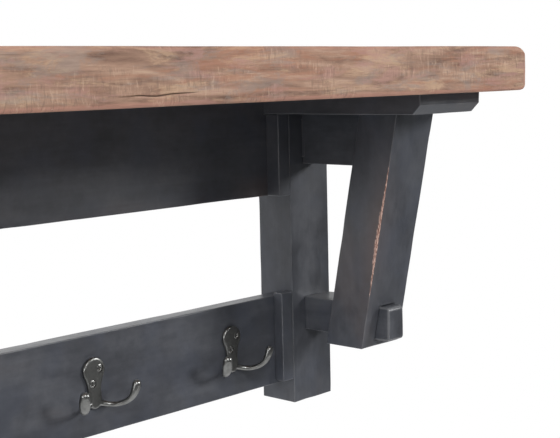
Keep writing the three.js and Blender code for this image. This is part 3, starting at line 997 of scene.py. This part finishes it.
def pear_loop(inset):
    """The plate's outline, drawn in by inset: a round head, a waist and a rounded foot."""
    radius, neck, foot = PLATE_ROUND - inset, PLATE_NECK - inset, PLATE_FOOT - inset
    turns = [-SHOULDER + (math.pi + 2 * SHOULDER) * i / HEAD_STEPS for i in range(HEAD_STEPS + 1)]
    head = [(radius * math.cos(turn), radius * math.sin(turn)) for turn in turns]
    start, bend, end = Vector(head[-1]), Vector((-neck, NECK_BEND)), Vector((-neck, NECK_END))
    waist = []
    for i in range(1, NECK_STEPS + 1):
        t = i / NECK_STEPS
        waist.append(tuple(start * (1 - t) ** 2 + bend * 2 * t * (1 - t) + end * t * t))
    turns = [math.pi + math.pi * i / FOOT_STEPS for i in range(FOOT_STEPS + 1)]
    toe = [(foot * math.cos(turn), FOOT_HEIGHT + foot * math.sin(turn)) for turn in turns]
    return head + waist + toe + [(-x, z) for x, z in reversed(waist)]


def plate_shell():
    """The pear-shaped plate with its rounded rim."""
    return loft([[(x, -forward, z) for x, z in pear_loop(inset)] for inset, forward in PLATE_RIM])


def boss_shell():
    """The thick place in the plate's foot that both prongs grow out of, flattened at the back."""
    ball = bmesh.new()
    bmesh.ops.create_uvsphere(ball, u_segments=24, v_segments=16, radius=1)
    wide, deep, tall = BOSS_HALF_SIZES
    points = [(v.co.x * wide, min(v.co.y * deep, 0.0), BOSS_HEIGHT + v.co.z * tall) for v in ball.verts]
    faces = [tuple(v.index for v in f.verts) for f in ball.faces]
    ball.free()
    return points, faces


def cast_mesh():
    """One hook cast in a single piece, about the middle of its plate's round head."""
    points, faces = [], []
    for shell_points, shell_faces in (plate_shell(), boss_shell(), prong_shell(1), prong_shell(-1)):
        start = len(points)
        points += [Vector(p) * MM for p in shell_points]
        faces += [tuple(start + i for i in face) for face in shell_faces]
    piece = mesh_object("casting", points, faces)
    face_outwards(piece.data)
    remesh = piece.modifiers.new("cast", "REMESH")
    remesh.mode = "VOXEL"
    remesh.voxel_size = CAST_VOXEL
    smooth = piece.modifiers.new("soften", "SMOOTH")
    smooth.factor = 0.5
    smooth.iterations = CAST_SMOOTHING
    apply_modifiers(piece)
    mesh = piece.data
    for vertex in mesh.vertices:
        vertex.co.y = min(vertex.co.y, 0.0)
    bpy.data.objects.remove(piece)
    return mesh


def build_hooks(material):
    mesh = cast_mesh()
    for node in sorted(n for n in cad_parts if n.startswith("hook_") and n[-1].isdigit()
                       and "_screw_" not in n):
        low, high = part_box(node)
        place = Vector(((low.x + high.x) / 2, high.y, high.z - PLATE_ROUND * MM))
        piece = add_object(f"{node}_cast", mesh.copy())
        piece.data.transform(Matrix.Translation(place))
        cut_out(piece, screw_holes(f"{node}_screw"))
        finish_piece(piece, material, node, sharp_degrees=60)


# ---- Hanger plates ----

PRESSED_ROUND = 0.3 * MM
FLAT_DEGREES, PRESSED_EDGE_DEGREES = 1, 35


def build_hanger_plates(material):
    """The CAD plates again with a small radius on every pressed edge."""
    for label in SIDES:
        node = f"{label}_hanger_plate"
        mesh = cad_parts[node].data.copy()
        solid = bmesh.new()
        solid.from_mesh(mesh)
        bmesh.ops.remove_doubles(solid, verts=solid.verts, dist=MERGE_WITHIN)
        bmesh.ops.dissolve_limit(solid, angle_limit=math.radians(FLAT_DEGREES),
                                 verts=solid.verts, edges=solid.edges)
        solid.to_mesh(mesh)
        solid.free()
        piece = add_object(f"{node}_pressed", mesh)
        bevel = piece.modifiers.new("edge", "BEVEL")
        bevel.width = PRESSED_ROUND
        bevel.segments = 2
        bevel.limit_method = "ANGLE"
        bevel.angle_limit = math.radians(PRESSED_EDGE_DEGREES)
        apply_modifiers(piece)
        finish_piece(piece, material, node)


# ---- Room, light and camera ----
# Sizes here are in metres.

FLOOR_DROP = 2.4
FLOOR_HALF = 3.6

# The surround is brightest towards this direction: the white sweep behind and above the object.
BRIGHT_SIDE = Vector((0.15, 0.93, 0.34)).normalized()

# Brightness of the surround from the far side (0) to the bright side (1).
WORLD_LEVELS = [(0.0, 0.08), (0.4, 0.17), (0.72, 0.62), (1.0, 1.5)]

# Soft boxes: the direction that each one lies in, its width and its power in watts.
LIGHT_TARGET = Vector((0.45, -0.1, -0.2))
LIGHT_DISTANCE = 4.0
SOFT_BOXES = [
    ((0.90, -1.0, 0.45), 0.9, 110), ((-0.25, -1.0, 0.17), 0.56, 8),
    ((-1.0, -0.10, 0.20), 1.9, 112), ((-0.60, -1.0, 0.80), 1.6, 88),
]

CAMERA_PLACE = Vector((-0.5665, -1.016, 0.0002))
CAMERA_YAW, CAMERA_PITCH, CAMERA_ROLL = (math.radians(angle) for angle in (46.86, 6.70, -1.312))

# The lens and the sensor's width, in mm.
CAMERA_LENS, CAMERA_SENSOR = 79.6, 36


def build_floor():
    g = new_material("floor_white")
    speck = g.noise((3, 3, 3), detail=2)
    color = g.ramp(speck, [(0.3, (0.80, 0.80, 0.80)), (0.7, (0.84, 0.84, 0.84))])
    normal = g.bump(speck, 0.1 * MM, 0.1)
    corners = [(x * FLOOR_HALF, y * FLOOR_HALF, -FLOOR_DROP)
               for x, y in ((-1, -1), (1, -1), (1, 1), (-1, 1))]
    floor = mesh_object("floor", corners, [(0, 1, 2, 3)])
    floor.data.materials.append(g.surface(Base_Color=color, Roughness=0.8, Normal=normal))


def build_world():
    """A white surround for the camera, and soft light from above and behind for everything else."""
    world = bpy.data.worlds.new("studio")
    bpy.context.scene.world = world
    g = Graph(world)
    facing = g.add("ShaderNodeVectorMath")
    facing.operation = "DOT_PRODUCT"
    facing.inputs[1].default_value = BRIGHT_SIDE
    g.link(g.add("ShaderNodeTexCoord").outputs["Generated"], facing.inputs[0])
    share = g.math("MULTIPLY", g.math("ADD", facing.outputs["Value"], 1.0), 0.5)
    soft = g.ramp(share, [(position, (level, level, level)) for position, level in WORLD_LEVELS])
    choose = g.add("ShaderNodeMixShader", Fac=g.add("ShaderNodeLightPath").outputs["Is Camera Ray"])
    for socket, color in zip(choose.inputs[1:], (soft, (1, 1, 1, 1))):
        g.link(g.add("ShaderNodeBackground", Color=color).outputs["Background"], socket)
    g.add("ShaderNodeOutputWorld", Surface=choose.outputs["Shader"])


def build_lights():
    for number, (direction, width, power) in enumerate(SOFT_BOXES, start=1):
        light = bpy.data.lights.new(f"soft_box_{number}", "AREA")
        light.size = width
        light.energy = power
        lamp = add_object(f"soft_box_{number}", light)
        away = Vector(direction).normalized()
        lamp.location = LIGHT_TARGET + away * LIGHT_DISTANCE
        lamp.rotation_euler = (-away).to_track_quat("-Z", "Y").to_euler()


def build_camera():
    camera = bpy.data.cameras.new("camera")
    camera.lens = CAMERA_LENS
    camera.sensor_width = CAMERA_SENSOR
    eye = add_object("camera", camera)
    ahead = Vector((math.sin(CAMERA_YAW) * math.cos(CAMERA_PITCH),
                    math.cos(CAMERA_YAW) * math.cos(CAMERA_PITCH), -math.sin(CAMERA_PITCH)))
    level = Vector((math.cos(CAMERA_YAW), -math.sin(CAMERA_YAW), 0))
    above = level.cross(ahead)
    right = level * math.cos(CAMERA_ROLL) + above * math.sin(CAMERA_ROLL)
    up = above * math.cos(CAMERA_ROLL) - level * math.sin(CAMERA_ROLL)
    turn = Matrix((right, up, -ahead)).transposed()
    eye.matrix_world = Matrix.Translation(CAMERA_PLACE) @ turn.to_4x4()
    bpy.context.scene.camera = eye


# ---- Assembly ----

build_camera()
build_world()
build_lights()
build_floor()
bpy.context.scene.view_settings.view_transform = "Standard"

paints = [black_paint(f"black_paint_{axis}", number) for number, axis in enumerate("xyz")]
build_plank(plank_wood())
build_timbers(paints)
build_hooks(cast_metal())
build_screws(screw_steel())
build_hanger_plates(zinc_plate())
